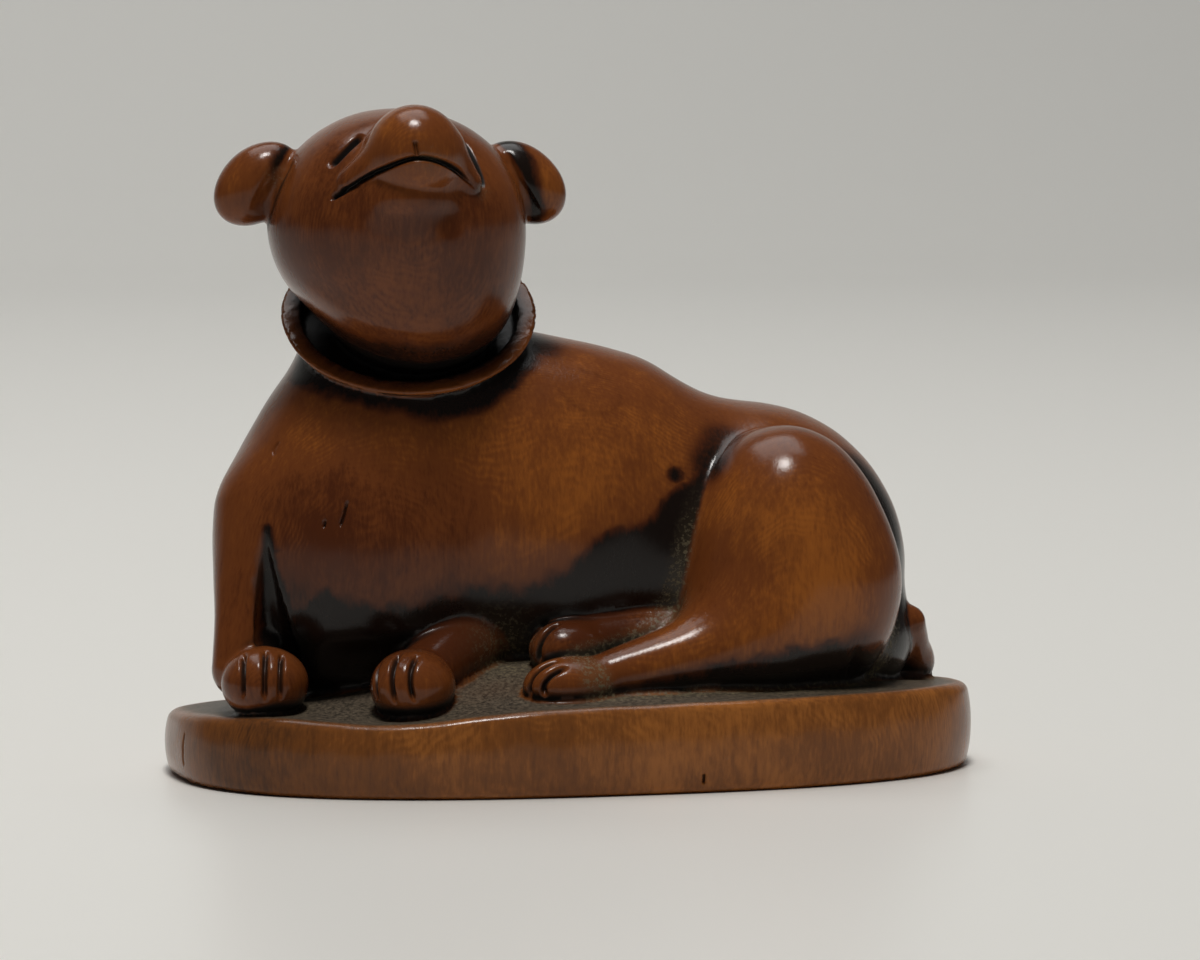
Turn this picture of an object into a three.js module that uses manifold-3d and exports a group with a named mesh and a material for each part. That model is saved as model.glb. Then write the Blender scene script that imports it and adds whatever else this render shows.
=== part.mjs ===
// A boxwood netsuke: a dog lying on an oval plinth, its head thrown back, with a plain collar round its neck.
// It is carved from one block, so the whole figure is one solid. Millimetres, +Z up, origin under the plinth.
// +X runs along the plinth to the dog's tail, and the dog's left side and its face look towards -Y.
import * as THREE from 'three';
import { mergeVertices } from 'three/addons/utils/BufferGeometryUtils.js';
import Module from 'manifold-3d';

const wasm = await Module();
wasm.setup();

// driving dimensions
const plinth = {
  length: 40.2,
  depth: 25.2,
  thickness: 3.55,
  riseToTail: 0.0147,
  fallToBack: 0.0646,
  mound: 1.9,
};
const frontDip = { depth: 0.5, x: -11.5, halfLength: 4.5, from: 4, to: 11 };
const squareness = 2.5;
const head = { centre: [-9.4, -1.9, 26.2], yaw: -4.5 };
const collar = { centre: [-8.14, 0.08, 22.29], radius: 6.3, thickness: 0.8, lean: 35, yaw: -12 };
const throatGap = { inner: 3.6, outer: 5.3, floor: -0.45, top: 2.2 };
const rimClearance = { inner: 5.1, outer: 7.2, floor: 0.1, top: 2.2 };
const cordHoles = { spacing: 10, diameter: 3.4 };

// soft forms
// A form gives about the distance from a point to its skin, negative inside.
const at = (x, y, z) => new THREE.Vector3(x, y, z);
const radians = THREE.MathUtils.degToRad;

function ball(centre, radii, turn = [0, 0, 0]) {
  const upright = new THREE.Quaternion().setFromEuler(new THREE.Euler(...turn.map(radians))).invert();
  const [rx, ry, rz] = radii;
  const q = new THREE.Vector3();
  return (p) => {
    q.copy(p).sub(centre).applyQuaternion(upright);
    const share = Math.hypot(q.x / rx, q.y / ry, q.z / rz);
    const slope = Math.hypot(q.x / rx ** 2, q.y / ry ** 2, q.z / rz ** 2);
    return share < 1e-6 ? -Math.min(rx, ry, rz) : (share * (share - 1)) / slope;
  };
}

// A rounded limb that tapers from one end to the other.
function limb(start, end, startRadius, endRadius) {
  const along = end.clone().sub(start);
  const q = new THREE.Vector3();
  return (p) => {
    const t = THREE.MathUtils.clamp(q.copy(p).sub(start).dot(along) / along.lengthSq(), 0, 1);
    return q.addScaledVector(along, -t).length() - THREE.MathUtils.lerp(startRadius, endRadius, t);
  };
}

// Runs forms into one another over a soft valley about as wide as reach.
function blend(reach, ...forms) {
  return (p) =>
    forms.map((form) => form(p)).reduce((a, b) => {
      const near = Math.max(reach - Math.abs(a - b), 0);
      return Math.min(a, b) - (near * near) / (4 * reach);
    });
}

// Scoops the tool out of a form, with a softened edge.
function scoop(reach, form, tool) {
  return (p) => {
    const a = form(p);
    const b = -tool(p);
    const near = Math.max(reach - Math.abs(a - b), 0);
    return Math.max(a, b) + (near * near) / (4 * reach);
  };
}

// meshes
function bare(geometry) {
  geometry.deleteAttribute('normal');
  geometry.deleteAttribute('uv');
  return mergeVertices(geometry, 1e-4);
}

// How far the form's skin is from a point inside it.
function reachOf(form, origin, direction) {
  const p = new THREE.Vector3();
  const depth = (s) => form(p.copy(origin).addScaledVector(direction, s));
  let inside = 0;
  let outside = 0;
  while (depth(outside) < 0) {
    inside = outside;
    outside += Math.max(-0.6 * depth(outside), 0.05);
  }
  for (let i = 0; i < 24; i++) {
    const middle = (inside + outside) / 2;
    if (depth(middle) < 0) inside = middle;
    else outside = middle;
  }
  return inside;
}

// Draws a sphere's skin out from a spine, which lies inside the form, until it meets the form.
function skin(form, spine, around, along) {
  const axis = spine.at(-1).clone().sub(spine[0]).normalize();
  const turn = new THREE.Quaternion().setFromUnitVectors(at(0, 1, 0), axis.length() > 0 ? axis : at(0, 0, 1));
  const curve = new THREE.CatmullRomCurve3(spine.length > 1 ? spine : [spine[0], spine[0]]);
  const geometry = bare(new THREE.SphereGeometry(1, around, along)).applyQuaternion(turn);
  const position = geometry.getAttribute('position');
  const direction = new THREE.Vector3();
  for (let i = 0; i < position.count; i++) {
    direction.fromBufferAttribute(position, i).normalize();
    const share = THREE.MathUtils.clamp((direction.dot(axis) + 1) / 2, 0, 1);
    const origin = spine.length > 1 ? curve.getPoint(share) : spine[0];
    const s = reachOf(form, origin, direction);
    position.setXYZ(i, origin.x + s * direction.x, origin.y + s * direction.y, origin.z + s * direction.z);
  }
  return geometry;
}

function solid(geometry) {
  return new wasm.Manifold(
    new wasm.Mesh({
      numProp: 3,
      vertProperties: new Float32Array(geometry.getAttribute('position').array),
      triVerts: new Uint32Array(geometry.index.array),
    }),
  );
}

// plinth
// Distance from the plinth's middle to its edge, at an angle.
function edgeDistance(angle) {
  const c = Math.abs(Math.cos(angle) / (plinth.length / 2)) ** squareness;
  const s = Math.abs(Math.sin(angle) / (plinth.depth / 2)) ** squareness;
  return (c + s) ** (-1 / squareness);
}

// The top leans: it rises towards the tail and falls away to the back, and its rim dips before the fore paws.
function topHeight(x, y) {
  const near = Math.exp(-(((x - frontDip.x) / frontDip.halfLength) ** 2));
  const dip = frontDip.depth * near * THREE.MathUtils.smoothstep(-y, frontDip.from, frontDip.to);
  return plinth.thickness + plinth.riseToTail * x - plinth.fallToBack * y - dip;
}

function plinthGeometry() {
  const mound = plinth.mound;
  const profile = [
    [0, 0],
    [0.955, 0],
    [0.972, 0.03],
    [0.995, 0.3],
    [1, 0.5],
    [0.992, 0.85],
    [0.975, 0.96],
    [0.95, 1],
    [0.88, 1.01],
    [0.76, 1 + 0.06 * mound],
    [0.6, 1 + 0.18 * mound],
    [0.4, 1 + 0.27 * mound],
    [0, 1 + 0.3 * mound],
  ].map(([share, height]) => new THREE.Vector2(share, height));
  const geometry = bare(new THREE.LatheGeometry(profile, 40));
  const position = geometry.getAttribute('position');
  for (let i = 0; i < position.count; i++) {
    const angle = Math.atan2(-position.getZ(i), position.getX(i));
    const out = edgeDistance(angle) * Math.hypot(position.getX(i), position.getZ(i));
    const x = out * Math.cos(angle);
    const y = out * Math.sin(angle);
    position.setXYZ(i, x, y, position.getY(i) * topHeight(x, y));
  }
  return geometry;
}

// body
function torsoForm() {
  const chest = ball(at(-10.8, 0.2, 11.2), [6.8, 6.9, 8.6]);
  const withers = limb(at(-8.4, 1, 17.4), at(1.5, 1.2, 14.8), 5.6, 5.6);
  const neck = limb(at(-8.4, 2, 17), at(-8.3, 0.3, 23.5), 4.6, 4.7);
  const barrel = ball(at(-1, 0.8, 11.4), [10, 7.2, 8.6]);
  const rump = ball(at(9, 0.8, 9.7), [8.3, 7.8, 8.2]);
  const seat = ball(at(11.7, -0.4, 6.2), [5.7, 6, 4]);
  return blend(1.2, blend(2.5, chest, withers, barrel, rump), neck, seat);
}

// The narrow triangle between the right foreleg and the chest.
function legNotch() {
  const top = at(-16.4, -4.1, 12.4);
  const foot = at(-15.6, -3.8, 5.4);
  return skin(limb(top, foot, 0.05, 1.3), [top, foot], 12, 8);
}

// The small notch at the foot of the haunch.
function haunchNotch() {
  const top = at(12.2, -9.7, 7.3);
  const foot = at(12.3, -8.3, 4.9);
  return skin(limb(top, foot, 0.05, 0.6), [top, foot], 8, 8);
}

function undercut() {
  const front = at(-14.5, -6, 5.2);
  const back = at(5, -8.6, 5.6);
  return skin(limb(front, back, 1.9, 2), [front, back], 12, 12);
}

function foreleg() {
  const shoulder = at(-15.5, -0.7, 13);
  const wrist = at(-17.2, -3, 5.6);
  return skin(limb(shoulder, wrist, 2.3, 1.45), [shoulder, wrist], 14, 12);
}

function forearm() {
  const elbow = at(-5.6, -2.6, 7);
  const wrist = at(-9, -6.4, 5.4);
  return skin(limb(elbow, wrist, 2.4, 1.5), [elbow, wrist], 12, 10);
}

function haunch() {
  const thigh = ball(at(9.8, -5.2, 9.3), [5.6, 4.8, 6]);
  const knee = ball(at(9.6, -4.6, 13.4), [3.6, 3.7, 3.6]);
  const shin = limb(at(6.8, -7.6, 6.6), at(-1.2, -8.6, 5.1), 2.3, 1.15);
  const spine = [at(-1.1, -8.6, 5.1), at(5.5, -7.8, 6.3), at(8.8, -6, 8.6), at(9.6, -5, 13)];
  return skin(blend(2.5, thigh, knee, shin), spine, 19, 19);
}

// The far side is plainer: the thigh and the shoulder only swell out of the body.
function farThigh() {
  const form = ball(at(8.6, 4.8, 8.8), [5.8, 4.6, 6.6], [0, 20, 0]);
  return skin(form, [at(8.6, 4.8, 8.8)], 12, 9);
}

function farShoulder() {
  const form = ball(at(-12.4, 3.6, 10.4), [4.4, 4.3, 6.4], [0, -12, 0]);
  return skin(form, [at(-12.4, 3.6, 10.4)], 12, 9);
}

function farHindLeg() {
  const stifle = at(4.5, -4.8, 6.6);
  const hock = at(-1, -5.4, 6.6);
  return skin(limb(stifle, hock, 1.9, 1.4), [stifle, hock], 12, 10);
}

// The stub of tail shows at the rump and lies along the far side.
function tail() {
  const root = at(16.8, -2.4, 6.9);
  const bend = at(17.4, -0.4, 4.8);
  const tip = at(14, 6.4, 4);
  return skin(blend(0.5, limb(root, bend, 0.9, 1.3), limb(bend, tip, 1.3, 0.8)), [root, bend, tip], 10, 12);
}

// A paw is a rounded pad with a groove down its front between each two toes.
// Heading turns it from -Y, towards +X. Grooves are placed across it, from -1 to 1.
function paw({ place, heading, radii, grooves }) {
  const finish = (unit) => solid(bare(unit.scale(...radii).rotateZ(radians(heading)).translate(...place)));
  const ring = (across) => {
    const torus = new THREE.TorusGeometry(Math.sqrt(1 - across * across), 0.12, 4, 14);
    return torus.rotateY(Math.PI / 2).translate(across, 0, 0);
  };
  const pad = finish(new THREE.SphereGeometry(1, 12, 9));
  return grooves.reduce((whole, across) => whole.subtract(finish(ring(across))), pad);
}

// head
// The head's own frame: its face looks along -Y before it is turned on the neck.
function headForm() {
  const skull = ball(at(0.2, 0, 0.85), [6.3, 6.2, 5.6]);
  const throat = ball(at(1.25, 0.3, -1.5), [5, 5.6, 4.85]);
  const muzzle = limb(at(0.35, -2, 1.9), at(0.35, -4.9, 4.35), 4, 2.35);
  const jaw = limb(at(0, -1.4, -0.4), at(0, -4.7, 2.2), 4.4, 2);
  const rightLip = limb(at(-1, -5, 4.1), at(-2.6, -4.4, 2.9), 1.1, 0.8);
  const leftLip = limb(at(1.7, -5, 4.3), at(2.85, -4.75, 2.95), 1.15, 0.75);
  return blend(0.12, blend(0.9, skull, throat, jaw), blend(0.4, muzzle, rightLip, leftLip));
}

// A groove of a round section on the head's skin. Its route is as seen from the front: [sideways, up].
function groove(form, route, radius) {
  const skinPoints = route.map(([x, z]) => {
    const origin = at(x, -1, z);
    const s = reachOf(form, origin, at(0, -1, 0));
    return at(x, -1 - s, z);
  });
  const section = new THREE.Shape().absarc(0, 0, radius, 0, 2 * Math.PI);
  const extrudePath = new THREE.CatmullRomCurve3(skinPoints);
  const options = { extrudePath, steps: 2 * route.length, bevelEnabled: false, curveSegments: 3 };
  return bare(new THREE.ExtrudeGeometry(section, options));
}

// The mouth is an arch, highest under the nose, and the eyes are slanting slits.
const faceGrooves = {
  mouth: [[-3.6, 2.15], [-2.2, 2.95], [-1.2, 3.6], [0.3, 4.05], [1.9, 3.65], [2.75, 3.05], [3.4, 2.4]],
  rightEye: [[-2, 5.25], [-2.9, 4.55], [-3.55, 3.8]],
  leftEye: [[3.05, 4.8], [3.5, 3.8], [3.75, 2.6]],
};
const grooveRadius = 0.3;

function earGeometry(side) {
  const flap = ball(at(0, 0, 0), [2.4, 1.6, 1.75], [0, side * 40, 0]);
  const fold = limb(at(-side * 1.6, -1.9, 0.6), at(side * 0.3, -2, -2), 0.5, 0.9);
  return skin(scoop(0.3, flap, fold), [at(0, 0.4, 0)], 13, 9).translate(side * 6.5, 0.6, 2.8);
}

const roundNeck = (geometry) =>
  geometry
    .rotateX(radians(90 + collar.lean))
    .rotateZ(radians(collar.yaw))
    .translate(...collar.centre);

// A plain thin disc whose rim stands out round the neck, flat above and thinned to its edge from below.
function collarGeometry() {
  const { radius, thickness } = collar;
  const profile = [
    [0, -1.2],
    [0.72, -1.2],
    [0.97, 0.05],
    [1, 0.25],
    [0.995, 0.42],
    [0.97, 0.5],
    [0, 0.5],
  ].map(([share, height]) => new THREE.Vector2(share * radius, height * thickness));
  return roundNeck(bare(new THREE.LatheGeometry(profile, 36)));
}

// A ring round the neck: one clears the chest from above the collar's rim, one cuts the gap under the throat.
function ringGeometry({ inner, outer, floor, top }) {
  const profile = [
    [inner, floor],
    [outer, floor],
    [outer, top],
    [inner, top],
    [inner, floor],
  ].map(([out, height]) => new THREE.Vector2(out, height));
  return roundNeck(bare(new THREE.LatheGeometry(profile, 24)));
}

// The cord's passage runs from one hole in the underside up through the wood and down to the other.
function cordPassage() {
  const { spacing, diameter } = cordHoles;
  return bare(new THREE.TorusGeometry(spacing / 2, diameter / 2, 8, 16)).rotateX(Math.PI / 2);
}

function headSolid() {
  const place = (geometry) => solid(geometry.rotateZ(radians(head.yaw)).translate(...head.centre));
  const grooves = Object.values(faceGrooves).map((route) => groove(headForm(), route, grooveRadius));
  const ears = [-1, 1].map((side) => place(earGeometry(side)));
  const whole = ears.reduce((a, b) => a.add(b), place(skin(headForm(), [at(0, 0, 0)], 28, 22)));
  return grooves.reduce((a, b) => a.subtract(place(b)), whole);
}

// the whole carving
function carving() {
  const torso = solid(skin(torsoForm(), [at(-11.5, 0.6, 11), at(9.5, 0.8, 10)], 26, 24));
  const figure = [
    foreleg(),
    forearm(),
    haunch(),
    farThigh(),
    farShoulder(),
    farHindLeg(),
    tail(),
    plinthGeometry(),
  ].map(solid);
  const paws = [
    { place: [-16.5, -5.1, 5.1], heading: -15, radii: [2.1, 2.2, 1.8], grooves: [-0.47, 0.05, 0.42] },
    { place: [-9.9, -8.1, 5.1], heading: -38, radii: [2, 2.3, 1.8], grooves: [-0.55, -0.02, 0.45] },
    { place: [-2.2, -8.8, 5], heading: -80, radii: [1.6, 2.5, 1.4], grooves: [0.2, 0.62] },
    { place: [-1.6, -6, 6.4], heading: -68, radii: [1.7, 2.1, 1.5], grooves: [-0.4, 0.15] },
  ].map(paw);
  const cuts = [undercut(), legNotch(), ringGeometry(rimClearance)].map(solid);
  const body = cuts.reduce((a, b) => a.subtract(b), torso);
  const collared = body.add(solid(collarGeometry())).subtract(solid(ringGeometry(throatGap)));
  const whole = [...figure, ...paws, headSolid()].reduce((a, b) => a.add(b), collared);
  return whole.subtract(solid(haunchNotch())).subtract(solid(cordPassage()));
}

function meshOf(manifold) {
  const { vertProperties, triVerts } = manifold.getMesh();
  const geometry = new THREE.BufferGeometry();
  geometry.setAttribute('position', new THREE.BufferAttribute(new Float32Array(vertProperties), 3));
  geometry.setIndex(new THREE.BufferAttribute(new Uint32Array(triVerts), 1));
  geometry.computeVertexNormals();
  return geometry;
}

const boxwood = new THREE.MeshStandardMaterial({ color: 0x7a3d1c, roughness: 0.4, metalness: 0 });
const netsuke = new THREE.Group();
const dog = new THREE.Mesh(meshOf(carving()), boxwood);
dog.name = 'dog_on_oval_plinth';
netsuke.add(dog);

export default netsuke;
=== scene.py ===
import math
import bmesh
import bpy
import numpy as np
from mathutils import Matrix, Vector


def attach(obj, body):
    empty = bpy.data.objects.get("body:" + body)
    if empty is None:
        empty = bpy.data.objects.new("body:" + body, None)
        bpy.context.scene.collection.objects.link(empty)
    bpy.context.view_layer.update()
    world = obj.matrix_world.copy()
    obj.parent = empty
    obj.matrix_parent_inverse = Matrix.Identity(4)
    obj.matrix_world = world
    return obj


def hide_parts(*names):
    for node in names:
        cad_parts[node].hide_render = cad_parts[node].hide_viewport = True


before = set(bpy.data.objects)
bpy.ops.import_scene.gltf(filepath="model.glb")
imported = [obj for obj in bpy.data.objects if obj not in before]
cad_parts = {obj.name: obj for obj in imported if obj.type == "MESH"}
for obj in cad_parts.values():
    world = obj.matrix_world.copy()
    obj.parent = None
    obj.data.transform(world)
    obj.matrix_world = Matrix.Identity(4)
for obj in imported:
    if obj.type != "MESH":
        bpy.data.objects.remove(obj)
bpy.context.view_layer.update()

mm = 0.001


# A form takes points in millimetres and gives about how far outside its skin they are.
# The first number of a blend or scoop is how far the meeting of its forms is rounded.

def turned(points, angles):
    for axis, angle in enumerate(angles):
        if angle:
            c, s = math.cos(math.radians(angle)), math.sin(math.radians(angle))
            a, b = [(1, 2), (2, 0), (0, 1)][axis]
            points = points.copy()
            pa, pb = points[:, a].copy(), points[:, b].copy()
            points[:, a] = c * pa + s * pb
            points[:, b] = c * pb - s * pa
    return points


def ball(centre, radii, turn=(0, 0, 0)):
    def form(p):
        q = turned(p - centre, turn)
        share = np.linalg.norm(q / radii, axis=1)
        slope = np.linalg.norm(q / np.square(radii), axis=1) + 1e-9
        return share * (share - 1) / slope
    return form


def limb(start, end, startRadius, endRadius):
    start, along = np.array(start, float), np.subtract(end, start)

    def form(p):
        t = np.clip((p - start) @ along / (along @ along), 0, 1)
        radius = startRadius + t * (endRadius - startRadius)
        return np.linalg.norm(p - start - t[:, None] * along, axis=1) - radius
    return form


def blend(reach, *forms):
    def form(p):
        total = forms[0](p)
        for other in forms[1:]:
            d = other(p)
            near = np.maximum(reach - np.abs(total - d), 0)
            total = np.minimum(total, d) - near * near / (4 * reach)
        return total
    return form


def scoop(reach, body, tool):
    def form(p):
        a, b = body(p), -tool(p)
        near = np.maximum(reach - np.abs(a - b), 0)
        return np.maximum(a, b) + near * near / (4 * reach)
    return form


def fade(value, start, end):
    t = np.clip((value - start) / (end - start), 0, 1)
    return t * t * (3 - 2 * t)


def rounded(a, b, radius):
    a, b = a + radius, b + radius
    return np.hypot(np.maximum(a, 0), np.maximum(b, 0)) + np.minimum(np.maximum(a, b), 0) - radius


plinth = {"length": 40.2, "depth": 25.2, "thickness": 3.55, "riseToTail": 0.0147, "fallToBack": 0.0646,
          "mound": 0.57, "moundStart": 0.92, "moundEnd": 0.3, "squareness": 2.5, "bulge": 0.3,
          "topCorner": 0.42, "footCorner": 0.3}
frontDip = {"depth": 0.5, "x": -11.5, "halfLength": 4.5, "start": 4, "end": 11}


def plinthShare(x, y):
    n = plinth["squareness"]
    return (np.abs(x / plinth["length"] * 2) ** n + np.abs(y / plinth["depth"] * 2) ** n) ** (1 / n)


def plinthForm(p):
    x, y, z = p.T
    share = plinthShare(x, y)
    outward = (share - 1) * np.hypot(x, y) / np.maximum(share, 0.05)
    dip = np.exp(-np.square((x - frontDip["x"]) / frontDip["halfLength"]))
    dip *= frontDip["depth"] * fade(-y, frontDip["start"], frontDip["end"])
    top = plinth["thickness"] + plinth["riseToTail"] * x - plinth["fallToBack"] * y - dip
    outward = outward + plinth["bulge"] * np.square(2 * z / top - 1)
    top = top * (1 + plinth["mound"] * fade(share, plinth["moundStart"], plinth["moundEnd"]))
    shell = rounded(outward, z - top, plinth["topCorner"])
    return np.maximum(shell, rounded(outward, -z, plinth["footCorner"]))


trunk = {
    "chest": ball((-10.8, 0.2, 11.2), (6.8, 6.9, 8.6)),
    "withers": limb((-8.4, 1, 17.4), (1.5, 1.2, 14.8), 5.6, 5.6),
    "barrel": ball((-1, 0.8, 11.4), (10, 7.2, 8.6)),
    "rump": ball((9, 0.8, 9.7), (8.3, 7.8, 8.2)),
    "neck": limb((-8.4, 2, 17), (-8.3, 0.3, 23.5), 4.6, 4.7),
    "seat": ball((11.7, -0.4, 6.2), (5.7, 6, 4)),
    "undercut": limb((-14.5, -6, 5.2), (5, -8.6, 5.6), 1.9, 2),
    "legNotch": limb((-16.4, -4.1, 12.4), (-15.6, -3.8, 5.4), 0.05, 1.3),
    "haunchNotch": limb((12.2, -9.7, 7.3), (12.3, -8.3, 4.9), 0.05, 0.6),
    "foreleg": limb((-15.5, -0.7, 13), (-17.2, -3, 5.6), 2.3, 1.45),
    "farThigh": ball((8.6, 4.8, 8.8), (5.8, 4.6, 6.6), (0, 20, 0)),
    "farShoulder": ball((-12.4, 3.6, 10.4), (4.4, 4.3, 6.4), (0, -12, 0)),
}

back = blend(2.5, *(trunk[name] for name in ("chest", "withers", "barrel", "rump")))
torso = scoop(0.5, blend(1.2, back, trunk["neck"], trunk["seat"]), trunk["undercut"])
torso = blend(1.2, torso, trunk["farThigh"], trunk["farShoulder"])
trunkForm = scoop(0.25, blend(1.5, torso, trunk["foreleg"]), trunk["legNotch"])

legs = {
    "forearm": limb((-5.6, -2.6, 7), (-9, -6.4, 5.4), 2.4, 1.5),
    "haunch": blend(2.5, ball((9.8, -5.2, 9.3), (5.6, 4.8, 6)), ball((9.6, -4.6, 13.4), (3.6, 3.7, 3.6)),
                    limb((6.8, -7.6, 6.6), (-1.2, -8.6, 5.1), 2.3, 1.15)),
    "farShin": limb((4.5, -4.8, 6.6), (-1, -5.4, 6.6), 1.9, 1.4),
    "tail": blend(0.5, limb((16.8, -2.4, 6.9), (17.4, -0.4, 4.8), 0.9, 1.3),
                  limb((17.4, -0.4, 4.8), (14, 6.4, 4), 1.3, 0.8)),
}

# Toes are grooves round each pad, placed across it from -1 to 1, which lean sideways as they run down
paws = {
    "rightFore": {"place": (-16.5, -5.1, 5.1), "heading": -15, "radii": (2.1, 2.2, 1.8),
                  "grooves": (-0.47, 0.05, 0.42), "lean": 0},
    "leftFore": {"place": (-9.9, -8.1, 5.1), "heading": -38, "radii": (2, 2.3, 1.8),
                 "grooves": (-0.55, -0.02, 0.45), "lean": -0.15},
    "nearHind": {"place": (-2.2, -8.8, 5), "heading": -80, "radii": (1.6, 2.5, 1.4),
                 "grooves": (0.2, 0.62), "lean": 0},
    "farHind": {"place": (-1.6, -6, 6.4), "heading": -68, "radii": (1.7, 2.1, 1.5),
                "grooves": (-0.4, 0.15), "lean": 0},
}


def pawForm(paw):
    return ball(paw["place"], paw["radii"], (0, 0, paw["heading"]))


pawForms = [pawForm(paw) for paw in paws.values()]

head = {"place": (-9.4, -1.9, 26.2), "yaw": -4.5, "front": -9}
skull = ball((0.2, 0, 0.85), (6.3, 6.2, 5.6))
throat = ball((1.25, 0.3, -1.5), (5, 5.6, 5.05))
muzzle = limb((0.35, -2, 1.9), (0.35, -4.9, 4.35), 4, 2.35)
jaw = limb((0, -1.4, -0.4), (0, -4.7, 2.2), 4.4, 2)
rightLip = limb((-1, -5, 4.1), (-2.6, -4.4, 2.9), 1.1, 0.8)
leftLip = limb((1.7, -5, 4.3), (2.85, -4.75, 2.95), 1.15, 0.75)
face = blend(0.12, blend(0.9, skull, throat, jaw), blend(0.4, muzzle, rightLip, leftLip))


def inHead(p):
    return turned(p - head["place"], (0, 0, head["yaw"]))


def headForm(p):
    return face(inHead(p))


# Given for the left ear, in the head's own frame
ear = {"place": (6.5, 0.6, 2.8), "radii": (2.4, 1.6, 1.75), "turn": 40, "foldTop": (-1.6, -1.9, 0.6),
       "foldFoot": (0.3, -2, -2), "foldRadii": (0.5, 0.9)}


def earForm(side):
    mirror = np.array((side, 1, 1))
    flap = ball((0, 0, 0), ear["radii"], (0, side * ear["turn"], 0))
    fold = limb(ear["foldTop"] * mirror, ear["foldFoot"] * mirror, *ear["foldRadii"])
    folded = scoop(0.3, flap, fold)
    return lambda p: folded(inHead(p) - ear["place"] * mirror)


ears = [earForm(-1), earForm(1)]

# The collar is a disc round the neck, flat above and thinned to its edge from below
collar = {"place": (-8.14, 0.08, 22.29), "lean": 35, "yaw": -12, "radius": 6.3, "top": 0.4, "foot": -0.96,
          "rimHeight": 0.12, "flare": 1.6, "underRounding": 0.35, "rimRounding": 0.14}
rings = {
    "clearance": {"inner": 5.1, "outer": 7.2, "floor": 0.1, "top": 2.2, "corner": 0.1},
    "gap": {"inner": 3.6, "outer": 5.3, "floor": -0.45, "top": 2.2, "corner": 0.25},
}


def inCollar(p):
    q = turned(turned(p - collar["place"], (0, 0, collar["yaw"])), (collar["lean"], 0, 0))
    return np.hypot(q[:, 0], q[:, 1]), q[:, 2]


def collarForm(p):
    out, up = inCollar(p)
    out = out - collar["radius"]
    under = (out - collar["flare"] * (up - collar["rimHeight"])) / math.hypot(1, collar["flare"])
    middle, half = (collar["top"] + collar["foot"]) / 2, (collar["top"] - collar["foot"]) / 2
    side = rounded(out, under, collar["underRounding"])
    return rounded(side, np.abs(up - middle) - half, collar["rimRounding"])


# A ring round the neck: one clears the chest from above the rim, one cuts the gap under the throat
def ringForm(ring):
    def form(p):
        out, up = inCollar(p)
        out = np.abs(out - (ring["inner"] + ring["outer"]) / 2) - (ring["outer"] - ring["inner"]) / 2
        up = np.abs(up - (ring["floor"] + ring["top"]) / 2) - (ring["top"] - ring["floor"]) / 2
        return rounded(out, up, ring["corner"])
    return form


cordHoles = {"spacing": 10, "radius": 1.7}


def passageForm(p):
    ring = np.hypot(p[:, 0], p[:, 2]) - cordHoles["spacing"] / 2
    return np.hypot(ring, p[:, 1]) - cordHoles["radius"]


clearedForm = scoop(0.05, trunkForm, ringForm(rings["clearance"]))
collaredForm = scoop(0.08, blend(0.1, clearedForm, collarForm), ringForm(rings["gap"]))
figureForm = blend(0.12, blend(0.3, collaredForm, *legs.values(), *pawForms), blend(0.3, headForm, *ears))
figureForm = scoop(0.1, figureForm, trunk["haunchNotch"])
carvingForm = scoop(0.3, blend(0.25, figureForm, plinthForm), passageForm)


fine = {"voxel": 0.27, "step": 0.02, "longestMove": 0.35, "nearForm": 0.5, "nearLines": (0.55, 0.26),
        "rounds": 4, "waver": 0.02, "triangles": 188000}


def slopes(form, p):
    distance = form(p)
    steps = fine["step"] * np.eye(3)
    return distance, np.stack([(form(p + step) - distance) / fine["step"] for step in steps], axis=1)


# Incised lines: each has its route on the skin, its depth, and its width on its left and on its right

def smoothRoute(corners, count=24):
    corners = np.array(corners, float)
    at = np.linspace(0, len(corners) - 1, count)
    route = np.stack([np.interp(at, range(len(corners)), c) for c in corners.T], axis=1)
    for _ in range(4):
        route[1:-1] = (route[:-2] + 2 * route[1:-1] + route[2:]) / 4
    return route


# From the front, onto the skin
def ontoFace(route):
    p = np.insert(smoothRoute(route), 1, head["front"], axis=1)
    for _ in range(60):
        p[:, 1] += 0.7 * face(p)
    return turned(p, (0, 0, -head["yaw"])) + head["place"]


toes = {"foot": -25, "top": 75, "depth": 0.32, "sides": (0.14, 0.14)}


def toeRoute(paw, across):
    sweep = np.radians(np.linspace(toes["foot"], toes["top"], 16))
    a = np.clip(across + paw["lean"] * np.sin(sweep), -0.95, 0.95)
    reach = np.sqrt(1 - a * a)
    unit = np.stack([a, -reach * np.cos(sweep), reach * np.sin(sweep)], axis=1)
    return turned(unit * paw["radii"], (0, 0, -paw["heading"])) + paw["place"]


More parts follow.
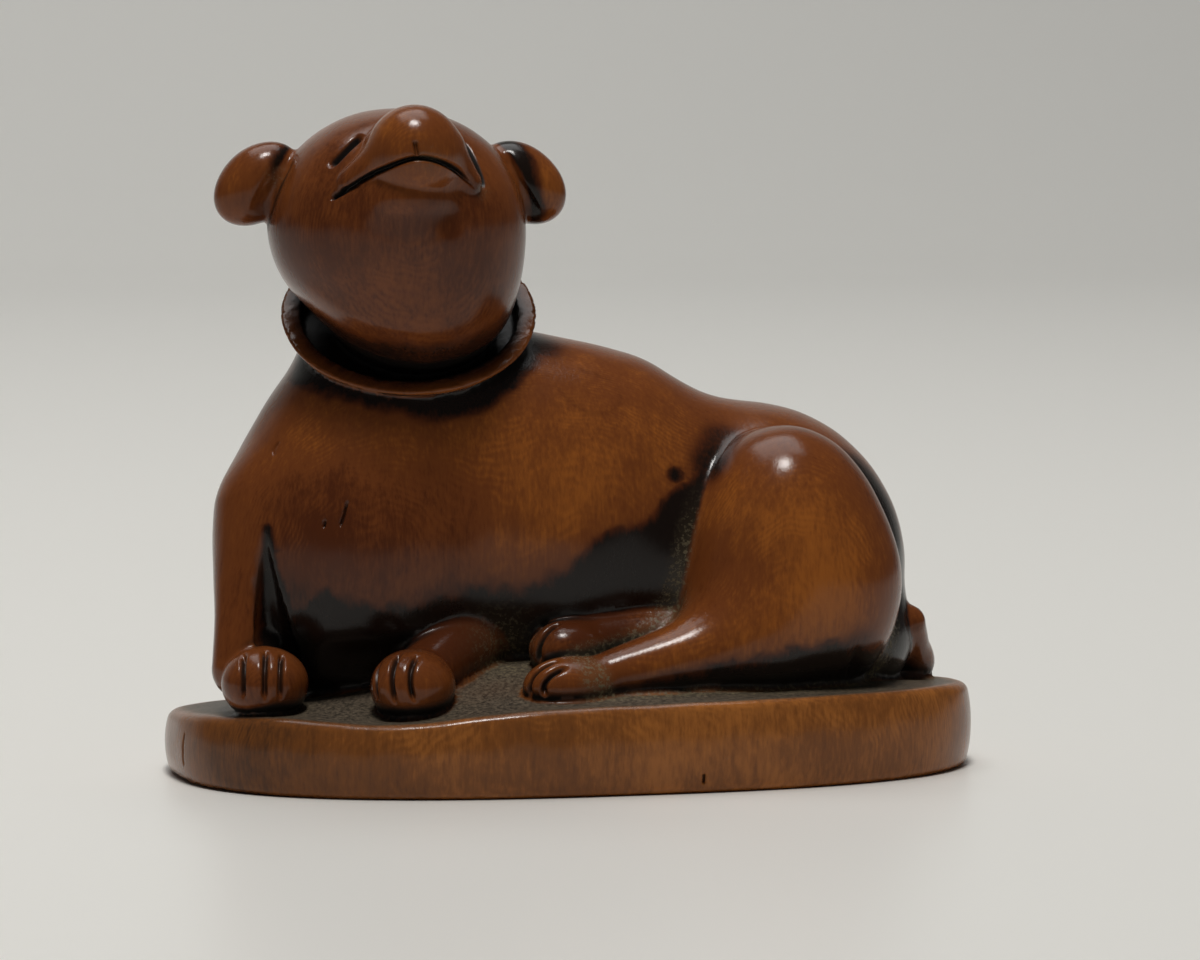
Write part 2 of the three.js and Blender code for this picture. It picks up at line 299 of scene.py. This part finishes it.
# Seen from the front, sideways and up; a line runs from the dog's right to its left, or upwards
faceLines = {
    "mouth": {"depth": 0.4, "sides": (0.17, 0.07),
              "route": [(-3.7, 2.2), (-2.96, 2.65), (-2.24, 3.04), (-1.36, 3.68), (-0.49, 4.07),
                        (0.13, 4.21), (0.77, 4.15), (1.92, 3.78), (2.74, 3.14), (3.5, 2.4)]},
    "mouthCorner": {"depth": 0.36, "sides": (0.16, 0.1), "route": [(-3.75, 2.15), (-3, 2.62), (-2.3, 3)]},
    "rightEye": {"depth": 0.38, "sides": (0.2, 0.2), "route": [(-3.7, 3.65), (-2.8, 4.55), (-1.9, 5.3)]},
    "leftEye": {"depth": 0.4, "sides": (0.08, 0.2),
                "route": [(3.75, 2.5), (3.5, 3.6), (3.1, 4.6), (2.75, 5.1)]},
    "underNose": {"depth": 0.22, "sides": (0.13, 0.13), "route": [(0.13, 4.2), (0.06, 4.6), (0, 5.1)]},
    "chin": {"depth": 0.22, "sides": (0.5, 0.9),
             "route": [(-2, 1.5), (-0.6, 1.35), (0.5, 1.33), (1.7, 1.4), (2.8, 1.6)]},
}
bodyLines = {
    "rightEarFold": {"depth": 0.13, "sides": (0.8, 0.25),
                     "route": [(-14.5, -1.6, 30.4), (-15.2, -2.2, 29.8), (-15.8, -2.4, 29.1),
                               (-16.2, -2.2, 28.4), (-16.4, -1.8, 27.5)]},
    "leftEarFold": {"depth": 0.15, "sides": (0.15, 0.8),
                    "route": [(-3.9, -2.6, 30.5), (-3.7, -3.2, 29.8), (-3.4, -3.4, 29), (-2.8, -3.3, 28.3),
                              (-2.1, -2.7, 27.4)]},
    "crack": {"depth": 0.26, "sides": (0.06, 0.06),
              "route": [(-12.6, -6.1, 14), (-12.8, -6.1, 13.2), (-13, -6.1, 12.6)]},
    "shortCrack": {"depth": 0.25, "sides": (0.06, 0.06), "route": [(-13.7, -5.9, 13), (-13.75, -5.9, 12.6)]},
    "scratch": {"depth": 0.1, "sides": (0.08, 0.08),
                "route": [(-15.6, -3, 16.9), (-15.8, -2.8, 16.4), (-15.6, -3, 15.9)]},
    "nick": {"depth": 0.3, "sides": (0.06, 0.06), "route": [(3.4, -12.6, 1), (3.4, -12.6, 0.4)]},
    "plinthCrack": {"depth": 0.24, "sides": (0.06, 0.06),
                    "route": [(-19.9, -2.4, 2.6), (-20, -2.3, 1.7), (-19.9, -2.2, 0.8)]},
}


def ontoSkin(route):
    q = smoothRoute(route, 12)
    for _ in range(6):
        distance, slope = slopes(carvingForm, q)
        q -= slope * (distance / np.square(slope).sum(axis=1))[:, None]
    return q


lines = [(ontoFace(line["route"]), line["depth"], line["sides"]) for line in faceLines.values()]
lines += [(ontoSkin(line["route"]), line["depth"], line["sides"]) for line in bodyLines.values()]
for paw in paws.values():
    lines += [(toeRoute(paw, across), toes["depth"], toes["sides"]) for across in paw["grooves"]]

# A drop of water has left a thin dark outline on the shoulder
markRoute = [(-1.5, -4, 18.9), (-1, -4.8, 17.75), (0.3, -4.8, 17.5), (1.4, -4.35, 17.9), (2.1, -3.6, 18.6),
             (1.3, -2.8, 19.55), (-0.2, -2.9, 19.8)]
waterMark = (ontoSkin(markRoute), 0, (0.13, 0.13))


# How far points are from a line, as shares of its width, and how deep it is beside each
def besideLine(p, line):
    route, depth, sides = line
    share, cut = np.full(len(p), 9.0), np.zeros(len(p))
    close = np.linalg.norm(p - route.mean(axis=0), axis=1) < np.ptp(route, axis=0).max() / 2 + 3
    q, best, deep = p[close], share[close], cut[close]
    for k, along in enumerate(np.diff(route, axis=0)):
        offset = q - route[k]
        t = np.clip(offset @ along / (along @ along), 0, 1)
        left = np.cross(along, (0, 1, 0)) @ offset.T > 0
        away = np.linalg.norm(offset - t[:, None] * along, axis=1) / np.where(left, *sides)
        end = np.minimum(k + t, len(route) - 1 - k - t) / len(route)
        nearer = away < best
        best[nearer] = away[nearer]
        deep[nearer] = depth * fade(end[nearer], 0, 0.2)
    share[close], cut[close] = best, deep
    return share, cut


def points(mesh):
    co = np.empty(3 * len(mesh.vertices))
    mesh.vertices.foreach_get("co", co)
    return co.reshape(-1, 3)


def movePoints(mesh, p):
    mesh.vertices.foreach_set("co", p.ravel())
    mesh.update()


def pull(mesh):
    p = points(mesh)
    distance, slope = slopes(carvingForm, p)
    size = np.linalg.norm(slope, axis=1)
    move = np.clip(distance / np.maximum(size, 0.5), -fine["longestMove"], fine["longestMove"])
    p -= slope * (move / np.maximum(size, 1e-3))[:, None]
    movePoints(mesh, p)


def reworked(mesh, work):
    bm = bmesh.new()
    bm.from_mesh(mesh)
    work(bm)
    bm.to_mesh(mesh)
    bm.free()


def toMillimetres(bm):
    bmesh.ops.scale(bm, vec=(1 / mm,) * 3, verts=bm.verts)
    bmesh.ops.remove_doubles(bm, verts=bm.verts, dist=0.001)


def relax(factor):
    turns = {"use_axis_x": True, "use_axis_y": True, "use_axis_z": True}
    return lambda bm: bmesh.ops.smooth_vert(bm, verts=bm.verts, factor=factor, **turns)


def split(near):
    def work(bm):
        edges = [e for e in bm.edges if near[e.verts[0].index] and near[e.verts[1].index]]
        bmesh.ops.subdivide_edges(bm, edges=edges, cuts=1, use_grid_fill=True)
        ngons = [f for f in bm.faces if len(f.verts) > 4]
        bmesh.ops.triangulate(bm, faces=ngons)
    return work


def modify(piece, kind, settings):
    change = piece.modifiers.new("change", kind)
    for name, value in settings.items():
        setattr(change, name, value)
    graph = bpy.context.evaluated_depsgraph_get()
    mesh = bpy.data.meshes.new_from_object(piece.evaluated_get(graph))
    piece.modifiers.clear()
    piece.data = mesh


# Where small forms need a closer mesh: paws, ears, collar, the front of the face and the plinth's rim
def detailed(p):
    near = np.minimum.reduce([form(p) for form in (*pawForms, collarForm, *ears)]) < fine["nearForm"]
    q = inHead(p)
    near |= (q[:, 1] < -1.5) & (q[:, 2] > 0) & (np.linalg.norm(q, axis=1) < 10)
    x, y, z = p.T
    return near | ((np.abs(plinthShare(x, y) - 0.97) < 0.04) & (z > 2.2))


def nearLines(reach):
    routes = [(line[0], 0, (1, 1)) for line in (*lines, waterMark)]
    return lambda p: np.minimum.reduce([besideLine(p, route)[0] for route in routes]) < reach


def carve():
    piece = bpy.data.objects.new("carving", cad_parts["dog_on_oval_plinth"].data.copy())
    bpy.context.scene.collection.objects.link(piece)
    reworked(piece.data, toMillimetres)
    modify(piece, "REMESH", {"mode": "VOXEL", "voxel_size": fine["voxel"]})
    mesh = piece.data
    for closer in (detailed, *map(nearLines, fine["nearLines"])):
        pull(mesh)
        reworked(mesh, relax(0.5))
        pull(mesh)
        reworked(mesh, split(closer(points(mesh))))
    for _ in range(fine["rounds"]):
        reworked(mesh, relax(0.4))
        pull(mesh)
        pull(mesh)
    incise(mesh)
    count = sum(len(face.vertices) - 2 for face in mesh.polygons)
    modify(piece, "DECIMATE", {"ratio": fine["triangles"] / count})
    print("carved", count, "triangles, thinned to", len(piece.data.polygons), "faces")
    return piece


# A slow uneven waver, as a knife and long handling leave it
def waver(p):
    total = np.zeros(len(p))
    for k in range(7):
        way = np.array((math.sin(2.1 * k), math.cos(3.7 * k + 1), math.sin(1.3 * k + 2)))
        total += np.sin(p @ way * (0.9 + 0.23 * k) + 5 * k)
    return total / 4


def incise(mesh):
    p = points(mesh)
    slope = slopes(carvingForm, p)[1]
    outward = slope / np.linalg.norm(slope, axis=1)[:, None]
    depth = np.zeros(len(p))
    for line in lines:
        share, deep = besideLine(p, line)
        depth = np.maximum(depth, deep * np.exp(-share * share))
    above = fade(p[:, 2], 0.2, 1)
    movePoints(mesh, p + outward * (fine["waver"] * above * waver(p) - depth)[:, None])


# Old lacquer-black stain lies below these heights on the belly and at the foot of the haunch
stains = {
    "belly": {"x": (-14.8, -13.5, -11.1, -8.6, -6.5, -4, -2.1, -0.2, 2, 4.1, 5.3, 6.5),
              "z": (9.1, 9.6, 8.9, 9, 9.7, 9.4, 10.3, 11.8, 12.7, 14, 15, 15.8)},
    "haunch": {"x": (0, 2, 5, 9.5, 12, 15, 17), "z": (4.7, 5.2, 5.9, 6.8, 6.6, 5.8, 5.6)},
}

# Painted shade round the collar: a painted shadow under its rim, painted shade in the gap under the throat
# and on the throat and the collar's face under the head; each pair is where it starts and where it is full,
# out from the neck or up from the disc
collarShade = {
    "rim": (7.2, 6.2), "under": (-2, -0.8),
    "gap": (5.45, 5.15), "gapTop": (2.5, 0.3), "gapFoot": (-1.2, -0.8),
    "throatTop": (3.4, 2), "throat": 0.65,
    "shadeOut": (5.7, 5.2), "shadeTop": (3, 0.6), "shadeFoot": (-1.4, -0.9), "shade": 1.2, "face": 0.48,
}

# Where stain or dust has gathered, and where handling has worn the wood lighter or it has gone darker; the
# stain spots
# under the ears, in the chin dent and beside the collar, and the dark tone on the throat, are painted shade:
# the place, how far it reaches, how much
spots = {
    "stainAndShade": [
        ((3.93, -5.29, 14.77), 0.4, 1), ((12.2, -8.8, 5.6), 1.8, 0.8), ((6.8, -3.8, 16.3), 1.3, 0.6),
        ((5.9, -5, 15.2), 1.2, 0.7), ((-1.9, -1.5, 21), 1.2, 0.8), ((-14.9, -5, 9.5), 1.5, 0.5),
        ((-16, -1.7, 27.4), 0.8, 0.35), ((-2.6, -2.8, 27.5), 0.8, 0.45), ((-6.6, -4.3, 21.2), 2, 0.3),
        ((-5, -3.2, 21.6), 1.6, 0.3), ((-12.9, -5.5, 30.3), 0.6, 0.4), ((-9.1, -8.5, 27.8), 1, 0.3),
        ((-7.8, -8.2, 27.8), 0.7, 0.25), ((-6.5, -7.3, 28.8), 0.5, 0.5), ((-7.4, -6.2, 6.6), 1.2, 0.25),
    ],
    "dust": [
        ((-4.8, -5.2, 6.2), 1.6, 1), ((-4, -6.4, 4.8), 1.2, 0.5), ((4, -6.3, 8), 1, 0.7),
        ((-9.3, -8.9, 30.4), 0.6, 0.35), ((-6.1, -7.2, 28.9), 0.4, 0.6), ((-15.3, -2, 29.4), 0.5, 0.45),
        ((-3.4, -2.6, 29.3), 0.5, 0.35),
    ],
    "tone": [
        ((-8.5, -6.5, 24.3), 4.6, -0.95), ((-13, -3.6, 31), 3, -0.5), ((-5, -3.6, 31), 2.6, -0.5),
        ((-9.9, -8.1, 5.4), 2.4, -1.2), ((-0.4, -6.2, 7.2), 2.6, -1.8), ((-7.2, -5.6, 7), 2.4, -1.5),
        ((-10, -8.4, 31.6), 2.6, 0.6), ((-9.7, -8.8, 29.2), 1.8, 0.5), ((-4.7, -5.5, 29.2), 2.4, 0.35),
        ((-14, -4.9, 29), 2, 0.35), ((-4.9, -5.5, 15.8), 5, 0.5), ((0.1, -5.5, 16), 3.6, 0.65),
        ((-15, -3.8, 16.4), 2, 0.45), ((8.6, -9.4, 11.4), 3.6, 0.8), ((9.9, -9.9, 8), 2.6, 0.4),
        ((-12.8, -6.1, 12.4), 4.2, -0.95), ((-14.6, -3.6, 25.4), 3, -0.7), ((5.6, -8.2, 10.5), 2.4, -0.35),
        ((13.5, -8.3, 12), 2.6, -0.1), ((-6.5, -4.6, 12.6), 3, -0.55), ((-2.6, -5.8, 8.2), 0.6, 0.8),
        ((-19, -5, 1.6), 4.5, -0.5), ((-17.2, -1.9, 29.2), 1.3, 0.35), ((-1.8, -3.2, 29.1), 1.3, 0.55),
        ((4, -12.6, 2.2), 12, 0.4), ((-11, -10, 2.8), 4, 0.25), ((-12, -10.8, 1.2), 3, -0.2),
    ],
}


def spotted(p, kind):
    total = np.zeros(len(p))
    for place, reach, amount in spots[kind]:
        total += amount * np.exp(-np.square(np.linalg.norm(p - place, axis=1) / reach))
    return total


def ofPlinth(p):
    return fade(figureForm(p) - plinthForm(p), -0.1, 0.3)


def belowHeights(p, stainAndShade, wobble):
    height = np.interp(p[:, 0], stainAndShade["x"], stainAndShade["z"])
    return fade(height - p[:, 2] + wobble, -0.7, 0.9)


# Where the wood is stained dark, together with painted shade round the collar and on the throat
def stainAndShadeShare(p):
    x, y, z = p.T
    legForms = np.minimum.reduce([form(p) for form in (*legs.values(), *pawForms)])
    onTrunk = fade(legForms, 0, 0.3) * fade(headForm(p), 0.2, 0.5)
    ragged = 0.3 * waver(p * 2.3) + 0.15 * waver(p * (9, 9, 3))
    belly = belowHeights(p, stains["belly"], ragged) * onTrunk * fade(-y, 1, 3.5) * fade(x, -16, -14.5)
    haunch = belowHeights(p, stains["haunch"], ragged) * fade(legs["haunch"](p), 0.5, 0.1) * fade(-y, 4, 7)
    # Painted shadow under the collar's rim, painted shade in the gap under the throat and on the throat
    # above it
    out, up = inCollar(p)
    rimShadow = fade(out + 0.5 * ragged, *collarShade["rim"]) * fade(up, *collarShade["under"])
    rimShadow *= fade(collarForm(p), 0, 0.15) * onTrunk
    gap = fade(out + 0.2 * ragged, *collarShade["gap"]) * fade(up + 0.6 * ragged, *collarShade["gapTop"])
    gap *= fade(up, *collarShade["gapFoot"])
    throatShade = fade(headForm(p), 0.3, 0) * fade(up + 0.6 * ragged, *collarShade["throatTop"])
    throatShade *= collarShade["throat"]
    notch = fade(trunk["legNotch"](p) + 0.3 * ragged, 0.7, 0.15) * fade(x, -16.6, -16)
    darkened = np.maximum.reduce([belly, haunch, rimShadow, gap, throatShade, notch, spotted(p, "stainAndShade")])
    return np.clip(darkened * (1 - ofPlinth(p)), 0, 1)


def dustShare(p):
    haunch = legs["haunch"](p)
    beside = fade(haunch, 1.1, 0.4) * fade(haunch, 0, 0.15) * fade(p[:, 2], 15, 9) * fade(-p[:, 1], 4, 5.5)
    return np.clip(beside + spotted(p, "dust"), 0, 1)


def toneShare(p):
    out, up = inCollar(p)
    # Painted shade on the throat above the collar and on the collar's face under the head
    shade = fade(out, *collarShade["shadeOut"]) * fade(up, *collarShade["shadeTop"])
    shade *= fade(up, *collarShade["shadeFoot"])
    onCollar = fade(collarForm(p), 0.2, 0) * fade(out, 6.3, 6.1)
    return spotted(p, "tone") - collarShade["shade"] * shade - collarShade["face"] * onCollar


def addValues(mesh, name, values):
    mesh.attributes.new(name, "FLOAT", "POINT").data.foreach_set("value", values.astype(np.float32))


# How far the skin looks outwards for wood that closes it in and inwards for air, and how deep a cut is
# painted black as shade
shelter = {"hollow": (0.4, 0.9, 1.8), "edge": (0.3, 0.7), "cut": (0.2, 0.38), "ears": 0.5}


def paintValues(mesh):
    p = points(mesh)
    normals = np.empty(3 * len(mesh.vertices))
    mesh.vertices.foreach_get("normal", normals)
    normals = normals.reshape(-1, 3)
    # The hollow value measures how closed in the skin is; the wood paints it dark as grime and painted shade
    closed = [1 - np.clip(carvingForm(p + reach * normals) / reach, 0, 1) for reach in shelter["hollow"]]
    thin = [1 - np.clip(-carvingForm(p - reach * normals) / reach, 0, 1) for reach in shelter["edge"]]
    hollow = sum(closed) / len(closed)
    hollow *= 1 - shelter["ears"] * fade(np.minimum(ears[0](p), ears[1](p)), 0.3, 0)
    onPlinth = ofPlinth(p)
    level = fade(normals[:, 2], 0.8, 0.97) * fade(plinthShare(*p.T[:2]), 0.985, 0.94)
    addValues(mesh, "hollow", np.maximum(hollow, fade(-carvingForm(p), *shelter["cut"])))
    addValues(mesh, "edge", sum(thin) / len(thin))
    addValues(mesh, "plinth", onPlinth)
    addValues(mesh, "plinthTop", onPlinth * level)
    addValues(mesh, "stainAndShade", stainAndShadeShare(p))
    addValues(mesh, "dust", dustShare(p))
    addValues(mesh, "tone", toneShare(p))
    addValues(mesh, "waterMark", np.exp(-np.square(besideLine(p, waterMark)[0])))
    movePoints(mesh, p * mm)


carvingPiece = carve()
paintValues(carvingPiece.data)
carvingPiece.data.shade_smooth()
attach(carvingPiece, "root")
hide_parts("dog_on_oval_plinth")
print("painted")


class Socket:
    def __init__(self, tree, link):
        self.tree = tree
        self.link = link

    def node(self, kind, settings=None, inputs=None, output=0):
        made = self.tree.nodes.new(kind)
        for name, value in (settings or {}).items():
            setattr(made, name, value)
        pairs = inputs.items() if isinstance(inputs, dict) else enumerate(inputs or [])
        for name, value in pairs:
            if isinstance(value, Socket):
                self.tree.links.new(value.link, made.inputs[name])
            elif value is not None:
                made.inputs[name].default_value = value
        return Socket(self.tree, made.outputs[output])

    def maths(self, operation, *others):
        return self.node("ShaderNodeMath", {"operation": operation}, [self, *others])

    def __add__(self, other):
        return self.maths("ADD", other)

    __radd__ = __add__

    def __sub__(self, other):
        return self.maths("SUBTRACT", other)

    def __rsub__(self, other):
        return self.node("ShaderNodeMath", {"operation": "SUBTRACT"}, [other, self])

    def __mul__(self, other):
        return self.maths("MULTIPLY", other)

    __rmul__ = __mul__

    def fade(self, start, end):
        settings = {"interpolation_type": "SMOOTHSTEP"}
        return self.node("ShaderNodeMapRange", settings, {"Value": self, "From Min": start, "From Max": end})

    def mix(self, a, b):
        colours = [c if isinstance(c, Socket) else (*c, 1) for c in (a, b)]
        return self.node("ShaderNodeMix", {"data_type": "RGBA"}, {0: self, 6: colours[0], 7: colours[1]}, 2)

    def noise(self, scale, detail, roughness):
        values = {"Vector": self, "Scale": scale, "Detail": detail, "Roughness": roughness}
        return self.node("ShaderNodeTexNoise", {}, values)

    def stretched(self, upwards):
        return self.node("ShaderNodeMapping", {}, {"Vector": self, "Scale": (1, 1, upwards)})


# A noise has its turns in a millimetre, its detail and its roughness, and upwards a slower run than sideways
wood = {
    "light": (0.34, 0.105, 0.018), "mid": (0.17, 0.048, 0.012), "red": (0.085, 0.022, 0.007),
    "sideLight": (0.38, 0.135, 0.03), "sideMid": (0.21, 0.072, 0.018), "sideDark": (0.08, 0.033, 0.014),
    "topGrey": (0.15, 0.115, 0.08), "topDark": (0.025, 0.02, 0.015),
    # The near-black stands for stain and for painted shade
    "stainAndShade": (0.007, 0.0055, 0.0045), "dust": (0.17, 0.135, 0.075),
    "broad": (0.16, 3, 0.55), "patches": (0.5, 4, 0.6), "grit": (5, 4, 0.7),
    "fleck": (6, 3, 0.6), "fleckUpwards": 0.22, "streaks": (2.6, 3, 0.6), "streakUpwards": 0.08,
    "ringSpacing": 0.1496, "ringWarp": 0.35, "acrossRings": (0.07, 1, 0.1),
    "gloss": 0.16, "specular": 0.26, "bump": 0.15,
}


def boxwoodMaterial():
    material = bpy.data.materials.new("boxwood")
    material.use_nodes = True
    tree = material.node_tree
    shader = tree.nodes["Principled BSDF"]
    maker = Socket(tree, None)
    place = maker.node("ShaderNodeTexCoord", {}, {}, 3)
    place = maker.node("ShaderNodeVectorMath", {"operation": "SCALE"}, {0: place, 3: 1 / mm})
    names = ("hollow", "edge", "plinth", "plinthTop", "stainAndShade", "dust", "tone", "waterMark")
    hollow, edge, onPlinth, onTop, stainAndShade, dust, tone, waterMark = [
        maker.node("ShaderNodeAttribute", {"attribute_name": name}, {}, 2) for name in names]

    # Growth rings lie nearly flat to the front: arches where the wood bulges, streaks where it turns away
    broad = place.noise(*wood["broad"])
    patches = place.noise(*wood["patches"])
    depth = maker.node("ShaderNodeVectorMath", {"operation": "DOT_PRODUCT"}, [place, wood["acrossRings"]], 1)
    warp = (broad * 5 + patches * 0.6) * wood["ringWarp"]
    growth = ((depth + warp) * (2 * math.pi / wood["ringSpacing"])).maths("SINE") * 0.5 + 0.5
    fleck = place.stretched(wood["fleckUpwards"]).noise(*wood["fleck"])
    streaks = place.stretched(wood["streakUpwards"]).noise(*wood["streaks"])
    ringShow = (growth - 0.5) * patches.fade(0.4, 0.65) * 0.16
    figure = (fleck - 0.5) * 0.7 + (streaks - 0.5) * 0.5 + ringShow

    shade = tone * 0.5 + (broad - 0.5) * 1.2 + (patches - 0.5) * 0.6 + figure
    body = shade.fade(-0.55, 0.05).mix(wood["red"], wood["mid"])
    body = shade.fade(0, 0.75).mix(body, wood["light"])
    side = shade.fade(-0.6, 0.05).mix(wood["sideDark"], wood["sideMid"])
    side = shade.fade(-0.05, 0.5).mix(side, wood["sideLight"])
    colour = onPlinth.mix(body, side)
    colour = (waterMark * 0.4).mix(colour, wood["red"])
    colour = (edge.fade(0.4, 0.85) * 0.35).mix(colour, wood["light"])

    # The plinth's grey top, then stain and painted shade, then grime and painted shade in the hollows and
    # cuts, then dust over all
    grit = place.noise(*wood["grit"])
    top = grit.fade(0.3, 0.7).mix(wood["topDark"], wood["topGrey"])
    colour = onTop.mix(colour, top)
    colour = stainAndShade.fade(0.02, 0.5).mix(colour, wood["red"])
    black = (stainAndShade + (patches - 0.5) * 0.5 + (fleck - 0.5) * 0.5).fade(0.25, 0.85)
    colour = (black * 0.95).mix(colour, wood["stainAndShade"])
    # Grime and painted shade in the hollows and cuts
    grimeAndShade = (hollow + patches * 0.3 - 0.15).fade(0.25, 0.8) * (1 - onTop * 0.85)
    colour = grimeAndShade.mix(colour, wood["stainAndShade"])
    speckle = grit.fade(0.5, 0.62) * 0.8 + 0.2
    dusty = (dust + onTop * hollow * 0.5) * speckle
    colour = dusty.mix(colour, wood["dust"])

    roughness = wood["gloss"] + grimeAndShade * 0.25 + fleck * 0.06 + dusty * 0.4 + onTop * 0.25
    tree.links.new(colour.link, shader.inputs["Base Color"])
    tree.links.new(roughness.link, shader.inputs["Roughness"])
    shader.inputs["Specular IOR Level"].default_value = wood["specular"]
    height = fleck * 0.6 + dusty * grit * 2
    relief = {"Strength": wood["bump"], "Distance": 0.1 * mm, "Height": height}
    bump = maker.node("ShaderNodeBump", {}, relief)
    tree.links.new(bump.link, shader.inputs["Normal"])
    return material


carvingPiece.data.materials.clear()
carvingPiece.data.materials.append(boxwoodMaterial())
print("wood")


backdrop = {"width": 1.8, "front": 0.6, "back": 0.5, "bend": 0.25, "height": 1.0, "roughness": 0.35,
            "colour": (0.85, 0.84, 0.8, 1)}


def makeBackdrop():
    bm = bmesh.new()
    left, rear, bend = -backdrop["width"] / 2, backdrop["back"], backdrop["bend"]
    front = bm.verts.new((left, -backdrop["front"], 0))
    corner = bm.verts.new((left, rear, 0))
    bm.edges.new((front, corner))
    turn = {"cent": (0, rear, bend), "axis": (1, 0, 0), "angle": math.pi / 2, "steps": 16}
    spun = bmesh.ops.spin(bm, geom=[corner], **turn)
    bent = [v for v in spun["geom_last"] if isinstance(v, bmesh.types.BMVert)][0]
    top = bm.verts.new((bent.co.x, bent.co.y, backdrop["height"]))
    bm.edges.new((bent, top))
    sheet = bmesh.ops.extrude_edge_only(bm, edges=bm.edges[:])
    drawn = [v for v in sheet["geom"] if isinstance(v, bmesh.types.BMVert)]
    bmesh.ops.translate(bm, vec=(backdrop["width"], 0, 0), verts=drawn)
    bmesh.ops.recalc_face_normals(bm, faces=bm.faces)
    mesh = bpy.data.meshes.new("backdrop")
    bm.to_mesh(mesh)
    bm.free()
    mesh.shade_smooth()
    floor = bpy.data.objects.new("backdrop", mesh)
    bpy.context.scene.collection.objects.link(floor)
    paper = bpy.data.materials.new("paper")
    paper.use_nodes = True
    shader = paper.node_tree.nodes["Principled BSDF"]
    shader.inputs["Base Color"].default_value = backdrop["colour"]
    shader.inputs["Roughness"].default_value = backdrop["roughness"]
    mesh.materials.append(paper)


lamps = {
    "overhead": {"place": (-0.036, -0.134, 0.6), "aim": (0, 0, 0.01), "size": 0.12, "power": 2.0,
                 "tint": (1, 0.98, 0.95)},
    "rear": {"place": (0, 0.25, 0.7), "aim": (0, 0.35, 0), "size": 0.5, "power": 2.1, "tint": (1, 1, 1)},
}
room = {"colour": (0.95, 0.97, 1, 1), "strength": 0.05}


def addToScene(name, data, place, aim):
    holder = bpy.data.objects.new(name, data)
    bpy.context.scene.collection.objects.link(holder)
    holder.location = place
    holder.rotation_euler = (Vector(aim) - Vector(place)).to_track_quat("-Z", "Y").to_euler()
    return holder


def makeLight():
    for name, lamp in lamps.items():
        light = bpy.data.lights.new(name, "AREA")
        light.size = lamp["size"]
        light.energy = lamp["power"]
        light.color = lamp["tint"]
        addToScene(name, light, lamp["place"], lamp["aim"])
    world = bpy.data.worlds.new("room")
    bpy.context.scene.world = world
    world.use_nodes = True
    background = world.node_tree.nodes["Background"]
    background.inputs["Color"].default_value = room["colour"]
    background.inputs["Strength"].default_value = room["strength"]
    bpy.context.scene.view_settings.view_transform = "Standard"


view = {"azimuth": -15, "elevation": 4.5, "distance": 0.3, "target": (0.00145, -0.0004, 0.0142),
        "lens": 181.8, "sensor": 36, "nearest": 0.01}


def makeCamera():
    camera = bpy.data.cameras.new("camera")
    camera.lens = view["lens"]
    camera.sensor_width = view["sensor"]
    camera.clip_start = view["nearest"]
    azimuth, elevation = math.radians(view["azimuth"]), math.radians(view["elevation"])
    away = Vector((math.sin(azimuth) * math.cos(elevation), -math.cos(azimuth) * math.cos(elevation),
                   math.sin(elevation)))
    place = Vector(view["target"]) + view["distance"] * away
    bpy.context.scene.camera = addToScene("camera", camera, place, view["target"])


makeBackdrop()
makeLight()
makeCamera()
print("studio")
